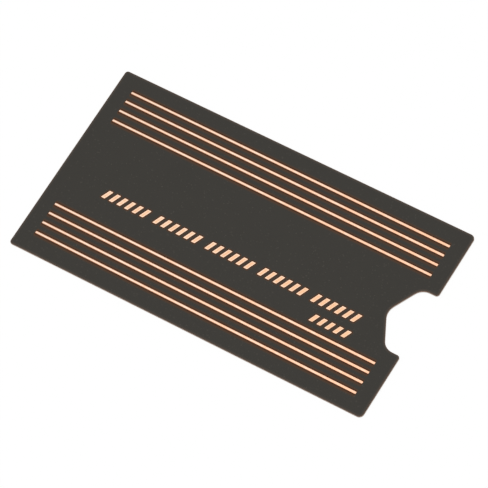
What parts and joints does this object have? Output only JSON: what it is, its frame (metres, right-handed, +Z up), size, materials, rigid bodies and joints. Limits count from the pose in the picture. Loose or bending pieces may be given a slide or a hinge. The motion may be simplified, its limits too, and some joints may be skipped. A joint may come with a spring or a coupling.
{
  "type": "ssd heat sink",
  "caption": "Thin stick-on copper and graphene heat spreader for a solid-state drive card, with a screw notch at one end and etched copper lines.",
  "frame": {"origin": "middle of the adhesive's underside", "axes": "+X along the sheet to its notched end, +Y across it, +Z up out of the etched face"},
  "size_m": [0.0368, 0.02, 0.0002],
  "materials": {
    "rolled_copper": "rolled copper, satin, bright where the coating is etched away",
    "graphene_coating": "matt black graphene coating",
    "thermal_adhesive": "pale, tacky thermal adhesive film"
  },
  "bodies": {
    "root": {"copper_sheet": "rolled_copper", "graphene_coating": "graphene_coating", "thermal_adhesive": "thermal_adhesive"}
  },
  "joints": []
}
